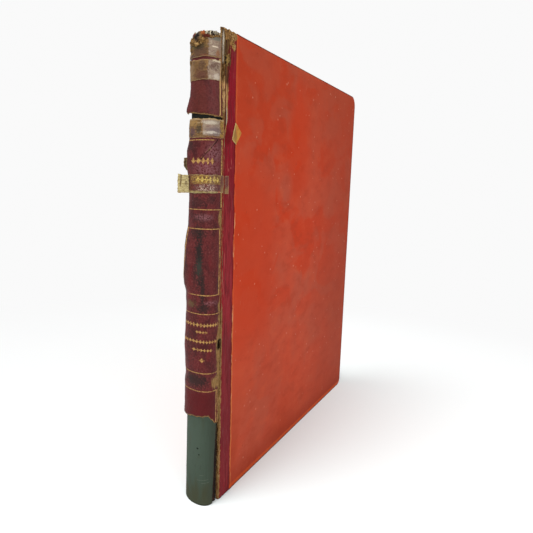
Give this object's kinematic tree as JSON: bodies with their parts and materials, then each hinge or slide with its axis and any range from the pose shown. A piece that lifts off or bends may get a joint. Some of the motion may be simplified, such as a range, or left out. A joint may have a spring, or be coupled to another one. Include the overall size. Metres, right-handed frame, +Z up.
{
  "type": "antique leather book",
  "caption": "Worn quarter-leather book with paper-sided boards, a rounded hollow back and hinged covers, standing on its tail.",
  "frame": {"origin": "middle of the spine's foot, at half the thickness of the spine lining", "axes": "+Z up from tail to head, +X out of the front cover, +Y from the spine to the fore edge"},
  "size_m": [0.0266, 0.2609, 0.31],
  "materials": {
    "leaves": "matte",
    "cord": "matte",
    "mull": "matte",
    "lining_cloth": "matte",
    "spine_leather": "satin",
    "cover_leather": "satin",
    "pasteboard": "matte",
    "siding_paper": "satin",
    "pastedown_paper": "matte",
    "aged_tape": "gloss",
    "amber_tape": "gloss"
  },
  "bodies": {
    "book_block": {"text_block": "leaves", "sewing_cords": "cord", "spine_mull": "mull", "spine_lining": "lining_cloth", "head_leather": "spine_leather", "spine_leather": "spine_leather", "crown_tape": "aged_tape", "head_tape": "aged_tape", "middle_tape": "aged_tape", "loose_tape": "amber_tape", "tape_scrap": "aged_tape"},
    "front_cover": {"front_board": "pasteboard", "front_siding": "siding_paper", "front_leather": "cover_leather", "front_pastedown": "pastedown_paper", "front_mull_flap": "mull", "tape_flake": "amber_tape", "tape_remnant": "aged_tape"},
    "rear_cover": {"rear_board": "pasteboard", "rear_siding": "siding_paper", "rear_leather": "cover_leather", "rear_pastedown": "pastedown_paper", "rear_mull_flap": "mull"}
  },
  "joints": [
    {"name": "front_cover_hinge", "type": "hinge", "parent": "book_block", "child": "front_cover", "pos_m": [0.01418, 0.01055, 0], "axis": [0, 0, -1], "range_deg": [0, 180]},
    {"name": "rear_cover_hinge", "type": "hinge", "parent": "book_block", "child": "rear_cover", "pos_m": [-0.01418, 0.01055, 0], "axis": [0, 0, 1], "range_deg": [0, 180]}
  ]
}
